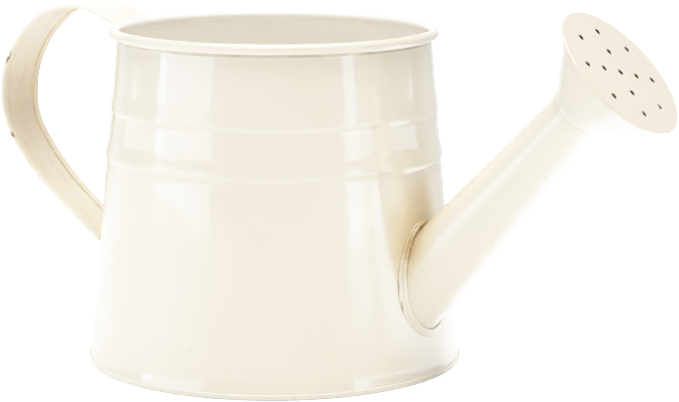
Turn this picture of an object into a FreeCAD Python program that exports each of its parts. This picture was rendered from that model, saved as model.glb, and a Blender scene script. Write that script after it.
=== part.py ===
"""A small sheet-metal watering can: a tapered body with a wired rim, a seamed base, a long conical
spout that carries a push-on rose, and a hemmed strap handle.

Frame: millimetres, +Z up, origin on the floor at the centre of the round base, spout towards +X,
handle towards -X. Each function below makes one physical piece, and each piece is one STEP file.
"""
import FreeCAD
import Part
import math
import os
from FreeCAD import Vector

# ---------------------------------------------------------------- driving dimensions, mm and degrees
sheet = 0.6                   # body, base and spout sheet
gap = 0.05                    # room left between pieces that touch in the real can

rim_radius = 67.76            # centre line of the rolled rim
rim_height = 140.36
rim_roll = 2.24               # outside radius of the roll
curl_start = -95.0            # free edge of the curl, tucked under the roll
curl_end = 242.0              # where the wall runs into the curl

wall_low_height = 8.0         # the wall is a straight cone between these two heights
wall_low_radius = 78.54
wall_high_height = 138.1
wall_high_radius = 66.86
wall_top = 138.9

upper_bead_height = 109.2     # crest of each swaged bead
upper_bead_proud = 0.45
lower_bead_height = 89.4
lower_bead_proud = 0.75
bead_above = 7.5              # length of the slow flank above a crest
bead_below = 2.6              # length of the quick flank below it
above_leads = (0.3, 0.6)      # how far each flank holds its end directions, as shares of its length
below_leads = (0.4, 0.5)

seam_width = 5.0              # vertical lap seam under the handle
seam_low = 5.0
seam_high = 136.0

foot_radius = 80.35           # outside of the base hem
hem_height = 2.4
hem_corner = 0.55
hem_lip_corner = 0.25
flare_top = 8.0
flare_low_lead = 1.6          # how far the flare holds its end directions
flare_high_lead = 2.8
flange_low = 0.9              # lower edge of the wall, inside the hem
floor_under = 3.4             # underside of the floor above the ground
floor_bend = 1.6
step_radius = 52.0            # stiffening step in the floor
step_rise = 1.2
step_run = 3.0
step_bend = 2.0
base_solder_reach = 2.4
base_solder_depth = 0.8       # how far it runs down into the groove
base_solder_groove = (-0.3, 0.6)

spout_angle = 47.95           # above the horizontal
spout_axis_drop = 41.01       # where the spout's axis would cross the can's axis, below the floor
spout_gauge_distance = 90.0   # along the axis, where the radius below is measured
spout_gauge_radius = 17.07
spout_taper = 0.0526          # radius lost per millimetre
spout_tip = 225.0
spout_inside = 0.8            # how far the spout's end stands inside the wall
root_below = 30.0             # the root lies within these distances of the gauge distance
root_above = 60.0
root_flange_width = 2.6
root_flange_thickness = 0.7
root_solder_width = 1.3
root_solder_height = 1.2

rose_sheet = 0.4
rose_angle = 43.07            # face normal above the horizontal
rose_face_x = 161.5
rose_face_z = 134.36
rose_face_radius = 30.46
rose_depth = 24.0             # face to neck
rose_neck_radius = 12.1
rose_neck_lip = 1.2
rose_neck_bend = 1.0
rose_flange_inner = 28.9      # where the cone turns out into the flange that the crimp holds
rose_flange_bend = 0.5
rose_lip_corner = 0.15
crimp_lap = 1.0
crimp_corner = 0.4
crimp_lip_corner = 0.15

hole_diameter = 2.7
hole_turn = -18.9             # turn of the hole pattern about the rose's axis
hole_rings = ((10.44, 4), (20.88, 8))

sleeve_wall = 0.4
sleeve_start = 211.8
sleeve_end = 227.0
sleeve_solder_low = 0.35      # above the mouth of the neck
sleeve_solder_high = 2.0      # inside the cone, above its small end
sleeve_solder_spread = 1.0

strap_sheet = 0.8
strap_low_width = 20.8        # width at the ground's height; the strap widens with height
strap_widening = 0.049        # width gained per millimetre of height
hem_width = 4.0
foot_tab = (19.0, 38.0)       # lowest and highest point of each tab
top_tab = (127.0, 137.2)
hem_start_x = -86.0           # the hems stop short of the foot
strap_solder_margin = 1.3
# Outside face of the strap as (x, z, bend radius), from the foot round to the rim.
strap_route = (
    (-68.0, 27.9, 0.0),
    (-124.1, 70.15, 110.0),
    (-139.75, 93.2, 29.8),
    (-139.75, 114.4, 35.2),
    (-130.0, 131.4, 43.4),
    (-111.7, 147.3, 35.2),
    (-87.0, 147.3, 42.1),
    (-64.0, 134.1, 0.0),
)

axis_z = Vector(0, 0, 1)
origin = Vector(0, 0, 0)
wall_slope = (wall_low_radius - wall_high_radius) / (wall_high_height - wall_low_height)
floor_top = floor_under + sheet
flange_radius = foot_radius - sheet - gap
riser_radius = flange_radius - sheet - gap
rose_face_back = -rose_sheet - gap
rose_flange_back = rose_face_back - rose_sheet
crimp_depth = -rose_flange_back + gap + rose_sheet
spout_way = Vector(math.cos(math.radians(spout_angle)), 0, math.sin(math.radians(spout_angle)))
root_start = spout_gauge_distance - root_below
root_end = spout_gauge_distance + root_above
past = 5.0                    # how far a cut runs past what it cuts
very_long = 400.0


# ---------------------------------------------------------------- outlines and solids of revolution
def at(radius, height):
    return Vector(radius, 0, height)


def line(a, b):
    return Part.LineSegment(a, b).toShape()


def rounded(points, closed=True):
    """Edges through (x, z, corner radius) points, each corner turned as an arc."""
    count = len(points)
    edges = []
    ends = []
    for i, (x, z, radius) in enumerate(points):
        here = at(x, z)
        if radius == 0:
            ends.append((here, here))
            continue
        back = (at(*points[i - 1][:2]) - here).normalize()
        ahead = (at(*points[(i + 1) % count][:2]) - here).normalize()
        half = back.getAngle(ahead) / 2
        start = here + back * (radius / math.tan(half))
        end = here + ahead * (radius / math.tan(half))
        middle = here + (back + ahead).normalize() * (radius / math.sin(half) - radius)
        edges.append(Part.Arc(start, middle, end).toShape())
        ends.append((start, end))
    for i in range(count if closed else count - 1):
        start = ends[i][1]
        end = ends[(i + 1) % count][0]
        if start.distanceToPoint(end) > 1e-6:
            edges.append(line(start, end))
    return edges


def face_of(edges):
    return Part.Face(Part.Wire(Part.sortEdges(edges)[0]))


def turned(edges, angle=360.0, start=0.0):
    """The solid swept by a closed outline about the can's axis."""
    face = face_of(edges)
    face.rotate(origin, axis_z, start)
    return face.revolve(origin, axis_z, angle)


def wall_radius(z):
    return wall_low_radius - (z - wall_low_height) * wall_slope


def smooth_edge(a, b, lead_a, lead_b):
    """A cubic from a to b that leaves along lead_a and arrives along lead_b."""
    curve = Part.BezierCurve()
    curve.setPoles([a, a + lead_a, b - lead_b, b])
    return curve.toShape()


def wall_edges(offset=0.0):
    """The wall's outside line from the base hem to the rim, moved out by offset."""
    edges = []
    flank = at(-wall_slope, 1.0)
    start = at(flange_radius, hem_height)
    end = at(wall_radius(flare_top), flare_top)
    edges.append(line(at(flange_radius, flange_low), start))
    edges.append(smooth_edge(start, end, axis_z * flare_low_lead, flank * flare_high_lead))
    here = end
    for height, proud in ((lower_bead_height, lower_bead_proud), (upper_bead_height, upper_bead_proud)):
        low = at(wall_radius(height - bead_below), height - bead_below)
        crest = at(wall_radius(height) + proud, height)
        high = at(wall_radius(height + bead_above), height + bead_above)
        below = flank * bead_below
        above = flank * bead_above
        edges.append(line(here, low))
        edges.append(smooth_edge(low, crest, below * below_leads[0], below * below_leads[1]))
        edges.append(smooth_edge(crest, high, above * above_leads[0], above * above_leads[1]))
        here = high
    edges.append(line(here, at(wall_radius(wall_top), wall_top)))
    return [edge.translated(at(offset, 0)) for edge in edges]


def wall_ends(offset):
    return (at(flange_radius + offset, flange_low), at(wall_radius(wall_top) + offset, wall_top))


def wall_shell(inside, outside, angle=360.0, start=0.0):
    """A shell that follows the wall, between two offsets from its outside face."""
    low_in, high_in = wall_ends(inside)
    low_out, high_out = wall_ends(outside)
    edges = wall_edges(inside) + wall_edges(outside) + [line(low_in, low_out), line(high_in, high_out)]
    return turned(edges, angle, start)


def wall_filled(offset):
    """Everything within the wall's outside face moved out by offset."""
    low, high = wall_ends(offset)
    low_axis = at(0, low.z)
    high_axis = at(0, high.z)
    ends = [line(low, low_axis), line(low_axis, high_axis), line(high, high_axis)]
    return turned(wall_edges(offset) + ends)


def block(x_low, x_high, half_width, z_low, z_high):
    corner = Vector(x_low, -half_width, z_low)
    return Part.makeBox(x_high - x_low, 2 * half_width, z_high - z_low, corner)


def one_solid(shape):
    """The shape's largest solid, with its faces merged."""
    solids = sorted(shape.Solids, key=lambda solid: solid.Volume)
    return solids[-1].removeSplitter()


# ---------------------------------------------------------------- the body
def body_wall():
    """Tapered wall with two beads, a curled rim, a flared foot and a lap seam at the back."""
    shell = wall_shell(-sheet, 0)
    shell = shell.fuse(rim_curl())
    half_turn = math.degrees(seam_width / 2 / wall_low_radius)
    seam = wall_shell(-sheet / 2, sheet, 2 * half_turn, 180 - half_turn)
    seam = seam.common(block(-very_long, 0, very_long, seam_low, seam_high))
    shell = shell.fuse(seam)
    hole = spout_cone(gap / 2, root_start - past, root_end)
    return one_solid(shell.cut(hole))


def rim_curl():
    """The top of the wall, rolled outwards round the wire."""
    arcs = []
    ends = []
    for radius in (rim_roll, rim_roll - sheet):
        points = []
        for angle in (curl_start, (curl_start + curl_end) / 2, curl_end):
            turn = math.radians(angle)
            points.append(at(rim_radius + radius * math.cos(turn), rim_height + radius * math.sin(turn)))
        arcs.append(Part.Arc(*points).toShape())
        ends.append((points[0], points[-1]))
    caps = [line(ends[0][0], ends[1][0]), line(ends[0][1], ends[1][1])]
    return turned(arcs + caps)


def rim_wire():
    return Part.makeTorus(rim_radius, rim_roll - sheet - gap, at(0, rim_height), axis_z)


def base_pan():
    """Recessed floor whose edge goes down, under the wall's flange and up outside it."""
    riser_in = riser_radius - sheet
    hem_in = foot_radius - sheet
    outline = (
        (0, floor_under + step_rise, 0),
        (step_radius - step_run, floor_under + step_rise, step_bend),
        (step_radius, floor_under, step_bend),
        (riser_in, floor_under, floor_bend - sheet),
        (riser_in, 0, hem_corner),
        (foot_radius, 0, hem_corner),
        (foot_radius, hem_height, hem_lip_corner),
        (hem_in, hem_height, hem_lip_corner),
        (hem_in, sheet, 0),
        (riser_radius, sheet, 0),
        (riser_radius, floor_top, floor_bend),
        (step_radius, floor_top, step_bend),
        (step_radius - step_run, floor_top + step_rise, step_bend),
        (0, floor_top + step_rise, 0),
    )
    return turned(rounded(outline))


def base_solder(wall, pan):
    """Solder run into the groove between the wall and the floor."""
    inside = wall_radius(floor_top) - sheet
    groove_in, groove_out = base_solder_groove
    outline = (
        (inside - base_solder_reach, floor_top, 0),
        (inside, floor_top + base_solder_reach, 0),
        (riser_radius + groove_out, floor_top - base_solder_depth, 0),
        (riser_radius + groove_in, floor_top - base_solder_depth, 0),
    )
    ring = turned(rounded(outline))
    return one_solid(ring.cut(wall).cut(pan))


# ---------------------------------------------------------------- the spout
def spout_radius(distance):
    return spout_gauge_radius - (distance - spout_gauge_distance) * spout_taper


def spout_cone(offset, start, end):
    """A solid cone on the spout's axis, the spout's outside moved out by offset."""
    base = at(0, -spout_axis_drop) + spout_way * start
    return Part.makeCone(
        spout_radius(start) + offset, spout_radius(end) + offset, end - start, base, spout_way
    )


def spout_tube():
    """Tapered tube through the wall, with a flange that lies on the wall round its root."""
    tube = spout_cone(0, root_start, spout_tip)
    flange = spout_cone(root_flange_width, root_start, root_end)
    flange = flange.common(wall_shell(gap / 2, root_flange_thickness))
    tube = tube.fuse(flange)
    tube = tube.cut(spout_cone(-sheet, root_start - past, spout_tip + past))
    return one_solid(tube.cut(wall_filled(-sheet - spout_inside)))


def spout_solder(tube):
    """Fillet of solder round the root, on the flange and against the tube."""
    ring = spout_cone(root_solder_width, root_start, root_end)
    ring = ring.common(wall_shell(root_flange_thickness, root_flange_thickness + root_solder_height))
    ring = ring.cut(spout_cone(0, root_start - past, root_end + past))
    return one_solid(ring.cut(tube))


# ---------------------------------------------------------------- the rose
def rose_placement():
    """From the rose's own frame (face at z = 0, water leaving along +Z) to the can's frame."""
    turn = math.radians(rose_angle)
    across = Vector(0, 1, 0)
    up = Vector(-math.sin(turn), 0, math.cos(turn))
    out = Vector(math.cos(turn), 0, math.sin(turn))
    rotation = FreeCAD.Rotation(across, up, out, "ZXY")
    return FreeCAD.Placement(at(rose_face_x, rose_face_z), rotation)


def placed_on_spout(shape):
    shape.Placement = rose_placement()
    return shape


def rose_cone():
    """Conical shell with a short neck lip and a flange for the face's crimp."""
    mouth = -rose_depth - rose_neck_lip
    neck_in = rose_neck_radius - rose_sheet
    flange_edge = rose_face_radius - rose_sheet - gap
    slant = math.atan((rose_flange_inner - rose_neck_radius) / (rose_depth + rose_flange_back))
    inward = rose_sheet / math.cos(slant)
    inner_bend_radius = rose_flange_inner - rose_sheet * math.tan(math.pi / 4 - slant / 2)
    outline = (
        (rose_neck_radius, mouth, rose_lip_corner),
        (rose_neck_radius, -rose_depth, rose_neck_bend),
        (rose_flange_inner, rose_flange_back, rose_flange_bend),
        (flange_edge, rose_flange_back, 0),
        (flange_edge, rose_face_back, 0),
        (inner_bend_radius, rose_face_back, rose_flange_bend + rose_sheet),
        (neck_in, -rose_depth + (inward - rose_sheet) / math.tan(slant), rose_neck_bend - rose_sheet),
        (neck_in, mouth, rose_lip_corner),
    )
    return placed_on_spout(turned(rounded(outline)))


def rose_face():
    """Flat perforated disc, its rim folded back over the cone's flange."""
    lap_radius = rose_face_radius - crimp_lap
    leg = crimp_depth - rose_sheet
    outline = (
        (0, 0, 0),
        (rose_face_radius, 0, crimp_corner),
        (rose_face_radius, -crimp_depth, crimp_corner),
        (lap_radius, -crimp_depth, crimp_lip_corner),
        (lap_radius, -leg, crimp_lip_corner),
        (rose_face_radius - rose_sheet, -leg, 0),
        (rose_face_radius - rose_sheet, -rose_sheet, 0),
        (0, -rose_sheet, 0),
    )
    disc = turned(rounded(outline))
    centres = [(0.0, 0.0)]
    for ring_radius, count in hole_rings:
        for i in range(count):
            centres.append((ring_radius, hole_turn + 360.0 * i / count))
    for radius, angle in centres:
        turn = math.radians(angle)
        foot = Vector(radius * math.cos(turn), radius * math.sin(turn), -2 * rose_sheet)
        disc = disc.cut(Part.makeCylinder(hole_diameter / 2, 3 * rose_sheet, foot, axis_z))
    return placed_on_spout(one_solid(disc))


def rose_sleeve():
    """Tapered sleeve inside the rose that pushes onto the spout's tip."""
    outside = spout_cone(gap + sleeve_wall, sleeve_start, sleeve_end)
    return one_solid(outside.cut(spout_cone(gap, sleeve_start - past, sleeve_end + past)))


def rose_solder(cone):
    """Solder between the sleeve and the rose's neck."""
    low = -rose_depth - rose_neck_lip + sleeve_solder_low
    high = -rose_depth + sleeve_solder_high
    core = spout_radius(sleeve_end) - 1
    outline = (
        (core, low, 0),
        (rose_neck_radius - rose_sheet - gap, low, 0),
        (rose_neck_radius + sleeve_solder_spread, high, 0),
        (core, high, 0),
    )
    ring = placed_on_spout(turned(rounded(outline)))
    ring = ring.cut(spout_cone(gap + sleeve_wall, sleeve_start - past, sleeve_end + past))
    return one_solid(ring.cut(cone))


# ---------------------------------------------------------------- the handle
def inner_route(distance):
    """The strap's route moved towards its inner side, every bend kept concentric."""
    count = len(strap_route)
    route = []
    for i, (x, z, radius) in enumerate(strap_route):
        before = at(*strap_route[max(i - 1, 0)][:2])
        after = at(*strap_route[min(i + 1, count - 1)][:2])
        here = at(x, z)
        normals = []
        for run in (here - before, after - here):
            if run.Length > 0:
                run.normalize()
                normals.append(Vector(run.z, 0, -run.x))
        middle = (normals[0] + normals[-1]).normalize()
        moved = here + middle * (distance / middle.dot(normals[0]))
        route.append((moved.x, moved.z, max(radius - distance, 0)))
    return route


def strap_layer(near, far):
    """Everything between two depths below the strap's outside face, much wider than the strap."""
    first = inner_route(near)
    second = inner_route(far)
    edges = rounded(first, False) + rounded(second, False)
    edges.append(line(at(*first[0][:2]), at(*second[0][:2])))
    edges.append(line(at(*first[-1][:2]), at(*second[-1][:2])))
    layer = face_of(edges).extrude(Vector(0, very_long, 0))
    layer.translate(Vector(0, -very_long / 2, 0))
    return layer


def strap_wedge(inset=0.0):
    """The space between the strap's two side edges, each moved inwards by inset."""
    low = strap_low_width / 2 - inset
    high = low + very_long * strap_widening / 2
    corners = []
    for y, z in ((-low, 0), (low, 0), (high, very_long), (-high, very_long)):
        corners.append(Vector(0, y, z))
    return Part.Face(Part.makePolygon(corners + corners[:1])).extrude(Vector(-very_long, 0, 0))


def can_without_strap():
    """The outside of the body with its seam, as one lump, to trim what lies against it."""
    return wall_filled(sheet).fuse(Part.makeTorus(rim_radius, rim_roll + gap, at(0, rim_height), axis_z))


def strap_tab(tab):
    shell = wall_shell(sheet, sheet + strap_sheet)
    return shell.common(block(-very_long, 0, very_long, *tab)).common(strap_wedge())


def handle_strap():
    """Hemmed strap: one sheet, doubled inwards along both edges, with a tab at each end."""
    hems = strap_layer(strap_sheet, 2 * strap_sheet).cut(strap_wedge(hem_width))
    hems = hems.cut(block(hem_start_x, 0, very_long, 0, rim_height / 2))
    strap = strap_layer(0, strap_sheet).fuse(hems).common(strap_wedge())
    strap = strap.cut(can_without_strap())
    strap = one_solid(strap.cut(block(-rim_radius, very_long, very_long, -very_long, very_long)))
    return one_solid(strap.fuse([strap_tab(foot_tab), strap_tab(top_tab)]))


def strap_solder(strap, wall, tab):
    """Solder bed under one tab, standing out round its edge."""
    low, high = tab
    bed = wall_shell(0, sheet + strap_sheet / 2)
    bed = bed.common(block(-very_long, 0, very_long, low - strap_solder_margin, high))
    bed = bed.common(strap_wedge(-strap_solder_margin))
    return one_solid(bed.cut(strap).cut(wall))


# ---------------------------------------------------------------- all pieces
def make_parts():
    """Every piece by name."""
    wall = body_wall()
    pan = base_pan()
    tube = spout_tube()
    cone = rose_cone()
    strap = handle_strap()
    return {
        "body_wall": wall,
        "rim_wire": rim_wire(),
        "base_pan": pan,
        "base_solder": base_solder(wall, pan),
        "spout_tube": tube,
        "spout_solder": spout_solder(tube),
        "rose_cone": cone,
        "rose_face": rose_face(),
        "rose_sleeve": rose_sleeve(),
        "rose_solder": rose_solder(cone),
        "handle_strap": strap,
        "handle_top_solder": strap_solder(strap, wall, top_tab),
        "handle_foot_solder": strap_solder(strap, wall, foot_tab),
    }


os.makedirs("parts", exist_ok=True)
for name, shape in make_parts().items():
    shape.exportStep(os.path.join("parts", name + ".step"))
    print(name, shape.isValid(), len(shape.Solids), round(shape.Volume, 1))
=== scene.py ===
import bpy
import bmesh
import math
from mathutils import Matrix, Vector, noise


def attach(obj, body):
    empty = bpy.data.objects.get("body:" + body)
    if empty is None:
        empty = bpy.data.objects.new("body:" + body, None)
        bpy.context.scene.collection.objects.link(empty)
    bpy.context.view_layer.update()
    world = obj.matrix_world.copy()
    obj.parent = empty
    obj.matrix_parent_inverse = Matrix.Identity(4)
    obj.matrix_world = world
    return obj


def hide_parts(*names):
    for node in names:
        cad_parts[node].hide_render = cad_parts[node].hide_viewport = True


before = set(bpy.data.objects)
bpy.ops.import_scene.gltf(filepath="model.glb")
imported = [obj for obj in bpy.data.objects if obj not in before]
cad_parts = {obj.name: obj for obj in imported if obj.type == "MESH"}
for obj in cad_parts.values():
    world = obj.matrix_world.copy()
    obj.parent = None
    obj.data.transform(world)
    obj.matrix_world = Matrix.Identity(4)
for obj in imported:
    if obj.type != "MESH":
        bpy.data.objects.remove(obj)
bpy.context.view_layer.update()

# ------------ dimensions, millimetres and degrees
MM = 0.001

SHEET = 0.6
GAP = 0.05                      # room between pieces that touch in the real can
BODY_SIDES = 288                # divisions round the body
SPOUT_SIDES = 160
ROSE_SIDES = 192
HOLE_SIDES = 28
SHARP_TURN = 40.0               # an edge where the surface turns by more than this stays sharp

WALL_LOW = (8.0, 78.54)         # height and outside radius, low and high on the straight cone
WALL_HIGH = (138.1, 66.86)
RIM_RADIUS = 67.76
RIM_HEIGHT = 140.36
RIM_ROLL = 2.24
CURL_START = -95.0              # direction of the curl's free edge from the middle of its roll
CURL_END = 240.0                # where its inner face runs into the wall's outside
CURL_OUTSIDE_END = 222.0        # where its outer face runs into the wall's inside
CREVICE = 138.6                 # where the wall's outside face disappears behind the curl
BEADS = ((89.4, 0.75), (109.2, 0.45))   # each crest's height and how proud it stands
BEAD_ABOVE = 7.5                # how far a bead fades out above and below its crest
BEAD_BELOW = 2.6
LARGE_DENTS = 0.16              # how far the hand-made sheet wanders off its true cone
SMALL_DENTS = 0.08
FLANGE_RADIUS = 79.70           # the wall's foot, which stands in the base's hem, and its lower edge
FLANGE_LOW = 0.9
HEM_HEIGHT = 2.4                # top of that hem, its outside radius, and the room in it
FOOT_RADIUS = 80.34
HEM_ROOM = 0.1
FLARE_TOP = 8.0
SEAM_HALF = 2.5                 # half the width of the lap seam, and its two ends
SEAM_LOW = 5.0
SEAM_HIGH = 136.0

FLOOR_UNDER = 3.4               # height of the floor's underside, outside its raised middle
STEP_RADIUS = 52.0
STEP_WIDTH = 3.0
STEP_RISE = 1.2

SPOUT_ANGLE = 47.95             # rise of its axis, which starts this far under the middle of the base
SPOUT_DROP = 41.01
SPOUT_GAUGE = (90.0, 17.07)     # distance along the axis, radius there
SPOUT_TAPER = 0.0526
SPOUT_TIP = 225.0
SPOUT_ROOT_DEPTH = 1.4          # how far the spout reaches in past the wall's outside face
SPOUT_RIPPLE = 0.14
FLANGE_WIDTH = 2.6
FLANGE_THICK = 0.7

ROSE_SHEET = 0.4
ROSE_ANGLE = 43.07
ROSE_FACE = (161.5, 134.36)     # x and z of the face's centre
ROSE_RADIUS = 30.46
ROSE_DEPTH = 24.0
NECK_RADIUS = 12.1
NECK_LIP = 1.2
CONE_FRONT = 28.9
CRIMP_DEPTH = 1.3
CRIMP_LAP = 1.0
HOLE_DIAMETER = 2.7
HOLE_TURN = -18.9
HOLE_RINGS = ((10.44, 4), (20.88, 8))   # radius and number of holes in each
HOLE_DISH = 0.22                # how deep the sheet is dished at a hole, and how far round it
DISH_REACH = 1.9
ROSE_WAVE = 0.12                # how far the face and the cone wander off true
CONE_WAVE = 0.14

STRAP_SHEET = 0.8
STRAP_LOW_WIDTH = 20.8          # width at the ground's height
STRAP_WIDENING = 0.049          # width gained per millimetre of height
STRAP_HEM = 4.0
FLAT_MARGIN = 1.2               # how far short of the strap's edges and the hems' lips its flat faces stop
HEM_MARGIN = 0.9                # how far short of the hems the plain sheet's flat face stops
HEM_START = 24.0                # along the strap: from its foot to the hem, from the hem to its top,
HEM_END = 2.0                   # and how fast the hem grows to full thickness
HEM_GROWTH = 6.0
FOOT_HUG = (34.0, 18.0)         # along the strap from an end: where its tab starts to lie round the wall,
TOP_HUG = (24.0, 14.0)          # and over what length
STRAP_BOW = 0.25                # how far the sheet and its edges wander off true
STRAP_WAVER = 0.18
STRAP_BEND_LOW = 35.0           # heights where the strap leaves the wall
STRAP_BEND_TOP = 137.0
# the strap's outside face between its tabs: x and z of each corner, and the radius that rounds it
STRAP_CORNERS = (
    (-124.1, 70.15, 110.0),
    (-139.75, 93.2, 29.8),
    (-139.75, 114.4, 35.2),
    (-130.0, 131.4, 43.4),
    (-111.7, 147.3, 35.2),
    (-87.0, 147.3, 42.1),
)
FOOT_TAB = (19.0, 38.0)         # lowest and highest point of each tab
TOP_TAB = (127.0, 137.2)
CHIPS = ((121.5, 4.5), (86.5, 1.8), (35.0, 3.0))    # heights and reaches of the edge's rusty chips
BED_MARGIN = 1.3                # how far the solder shows beyond a tab
BED_HEIGHT = 0.95

# ------------ camera, table and light, metres and degrees
CAMERA_PLACE = (0.5591, -0.8540, 0.2538)
CAMERA_TURN = 31.65             # the camera's turn from looking along +Y, its tilt down and its roll
CAMERA_TILT = 10.36
CAMERA_ROLL = 0.18
LENS = 128.03                   # millimetres, on a sensor SENSOR wide
SENSOR = 36.0
CAMERA_SIDE = 33.2              # the camera's side of the can, in degrees from -Y towards +X
TABLE_EDGE_SIDE = 65.5          # the table's far edge runs that way, in degrees right of the camera's side
TABLE_EDGE_GAP = 0.22           # metres from the can's axis
TABLE_SIZE = 4.0
# the table's wedges of daylight: two sides, metres from the axis where each starts, and strength
DAYLIT = ((66.0, 112.0, 0.05, 1.6), (-82.0, -43.0, 0.05, 0.4), (46.0, 62.0, 0.3, 1.2))
DAYLIT_FADE = 0.27              # metres over which a wedge grows to full strength
FLOOR_PALE = (0.85, 0.85, 0.85)
FLOOR_GREY = (0.82, 0.82, 0.82)
FLOOR_GLOW = 1.20               # lifts the table to white where the camera looks straight at it

# the room's light, with what is added to it at two sides of the can and overhead; each of those grows
# between two angles, in degrees from its middle
ROOM_LIGHT = 0.63
DIM_SIDE = 97.0                 # sides are in degrees right of the camera's
DIM_LIGHT = -0.51
DIM_REACH = (36, 22)
DIM_LEVELS = (0.10, 0.27)       # sines of the angles up or down where the dim band starts to fade and ends
BRIGHT_SIDE = -168.0
BRIGHT_LIGHT = 0.75
BRIGHT_REACH = (45, 15)
OVERHEAD_LIGHT = 9.3
OVERHEAD_REACH = (31, 12)

# panels of daylight: left and right side, low and high edge in metres, and radiance
PANELS = {
    "window_left": ((-86, -43), (0.02, 0.36), 2.4),
    "window_left_edge": ((-87, -80), (0.03, 0.14), 4.0),
    "window_right": ((48, 58), (0.0, 0.36), 3.2),
    "window_right_low": ((58, 71), (0.0, 0.13), 1.8),
    "table_card": ((71, 112), (0.0, 0.07), 1.7),
}
PANEL_DISTANCE = 1.5            # metres from the can's axis
DAYLIGHT = (0.80, 0.95, 1.25)
WHITE = 1.90                    # light level shown as pure white
SHOULDER = ((0.6, 0.6), (0.8, 0.76), (1.0, 0.875), (1.2, 0.95), (1.5, 0.985))   # light level, tone shown


# ------------ mesh helpers
def add_object(name, data):
    obj = bpy.data.objects.new(name, data)
    bpy.context.scene.collection.objects.link(obj)
    return obj


def add_mesh(name, points, faces):
    """An object from points in metres."""
    mesh = bpy.data.meshes.new(name)
    mesh.from_pydata(points, [], faces)
    return add_object(name, mesh)


def finish_mesh(name, points, faces, body, replaced, sharp=SHARP_TURN):
    """A smooth-shaded object from points in millimetres, on its body and standing for CAD nodes."""
    obj = add_mesh(name, [p * MM for p in points], faces)
    tidy_mesh(obj, sharp)
    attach(obj, body)
    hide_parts(*replaced)
    return obj


def tidy_mesh(obj, sharp=SHARP_TURN):
    """Outward normals and smooth faces, with edges sharp where it turns by more than sharp degrees."""
    work = bmesh.new()
    work.from_mesh(obj.data)
    bmesh.ops.recalc_face_normals(work, faces=work.faces)
    for face in work.faces:
        face.smooth = True
    for edge in work.edges:
        edge.smooth = edge.calc_face_angle(0.0) < math.radians(sharp)
    work.to_mesh(obj.data)
    work.free()


def tube_faces(rows, columns, closed=True):
    """Quads between successive rings of points; closed joins the last ring to the first."""
    faces = []
    for i in range(rows if closed else rows - 1):
        j = (i + 1) % rows
        for k in range(columns):
            m = (k + 1) % columns
            faces.append((i * columns + k, i * columns + m, j * columns + m, j * columns + k))
    return faces


def corner_arc(before, corner, after):
    """The arc that rounds a corner: its centre, the spokes to its two ends, and the angle it turns."""
    here = Vector(corner[:2])
    radius = corner[2]
    back = (Vector(before[:2]) - here).normalized()
    ahead = (Vector(after[:2]) - here).normalized()
    half = back.angle(ahead) / 2
    reach = radius / math.tan(half)
    centre = here + (back + ahead).normalized() * (radius / math.sin(half))
    return centre, here + back * reach - centre, here + ahead * reach - centre, math.pi - 2 * half


def rounded(corners, steps=5):
    """A closed outline of (radius, height) from (radius, height, corner radius) corners."""
    outline = []
    for i, corner in enumerate(corners):
        radius = corner[2]
        if radius == 0:
            outline.append(Vector(corner[:2]))
            continue
        centre, start, end, _ = corner_arc(corners[i - 1], corner, corners[(i + 1) % len(corners)])
        for k in range(steps + 1):
            outline.append(centre + start.lerp(end, k / steps).normalized() * radius)
    return outline


def rounded_open(corners, longest):
    """An open line through (x, z, corner radius) corners, in arcs of pieces no longer than longest."""
    line = [Vector(corners[0][:2])]
    for before, corner, after in zip(corners, corners[1:], corners[2:]):
        radius = corner[2]
        centre, start, end, turn = corner_arc(before, corner, after)
        steps = max(4, math.ceil(turn * radius / longest))
        for k in range(steps + 1):
            line.append(centre + start.slerp(end, k / steps) * radius)
    line.append(Vector(corners[-1][:2]))
    return line


def divided(outline, longest):
    """The closed outline with its long runs cut into pieces no longer than longest."""
    result = []
    for i, here in enumerate(outline):
        ahead = outline[(i + 1) % len(outline)]
        pieces = max(1, math.ceil((ahead - here).length / longest))
        result += [here.lerp(ahead, k / pieces) for k in range(pieces)]
    return result


def span(low, high, step):
    """Values from low to high, evenly spaced by about step."""
    count = max(1, round(abs(high - low) / step))
    return [low + (high - low) * i / count for i in range(count + 1)]


def circle(count):
    """Angles evenly round a circle, in radians."""
    return [2 * math.pi * k / count for k in range(count)]


def smooth(t):
    """Eases from 0 to 1 as t goes from 0 to 1."""
    t = min(max(t, 0.0), 1.0)
    return t * t * (3 - 2 * t)


def wobble(x, y, z, seed):
    """Smooth noise from -1 to 1."""
    return noise.noise(Vector((x, y, z)) + Vector((seed * 17.3, seed * 5.1, seed * 9.7)))


def lathe(name, outline, body, replaced, ends=None, columns=BODY_SIDES, place=None, shift=None):
    """A turned piece. ends are the two points on the axis that close an open outline; shift gives how far
    each point wanders, and place is where the whole piece stands."""
    points = []
    for x, z in outline:
        for angle in circle(columns):
            p = Vector((x * math.cos(angle), x * math.sin(angle), z))
            points.append(p + shift(p) if shift else p)
    faces = tube_faces(len(outline), columns, ends is None)
    if ends:
        for end, row in ((ends[0], 0), (ends[1], len(outline) - 1)):
            centre = Vector((0, 0, end[1]))
            points.append(centre + shift(centre) if shift else centre)
            hub = len(points) - 1
            for k in range(columns):
                m = (k + 1) % columns
                faces.append((hub, row * columns + k, row * columns + m))
    if place:
        points = [place @ p for p in points]
    return finish_mesh(name, points, faces, body, replaced)


def cut_away(obj, cutter):
    """Takes the cutter's volume out of obj and deletes the cutter."""
    cut = obj.modifiers.new("cut", "BOOLEAN")
    cut.object = cutter
    cut.operation = "DIFFERENCE"
    cut.solver = "EXACT"
    bpy.context.view_layer.update()
    depsgraph = bpy.context.evaluated_depsgraph_get()
    result = bpy.data.meshes.new_from_object(obj.evaluated_get(depsgraph))
    obj.modifiers.clear()
    obj.data = result
    bpy.data.objects.remove(cutter)


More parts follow.
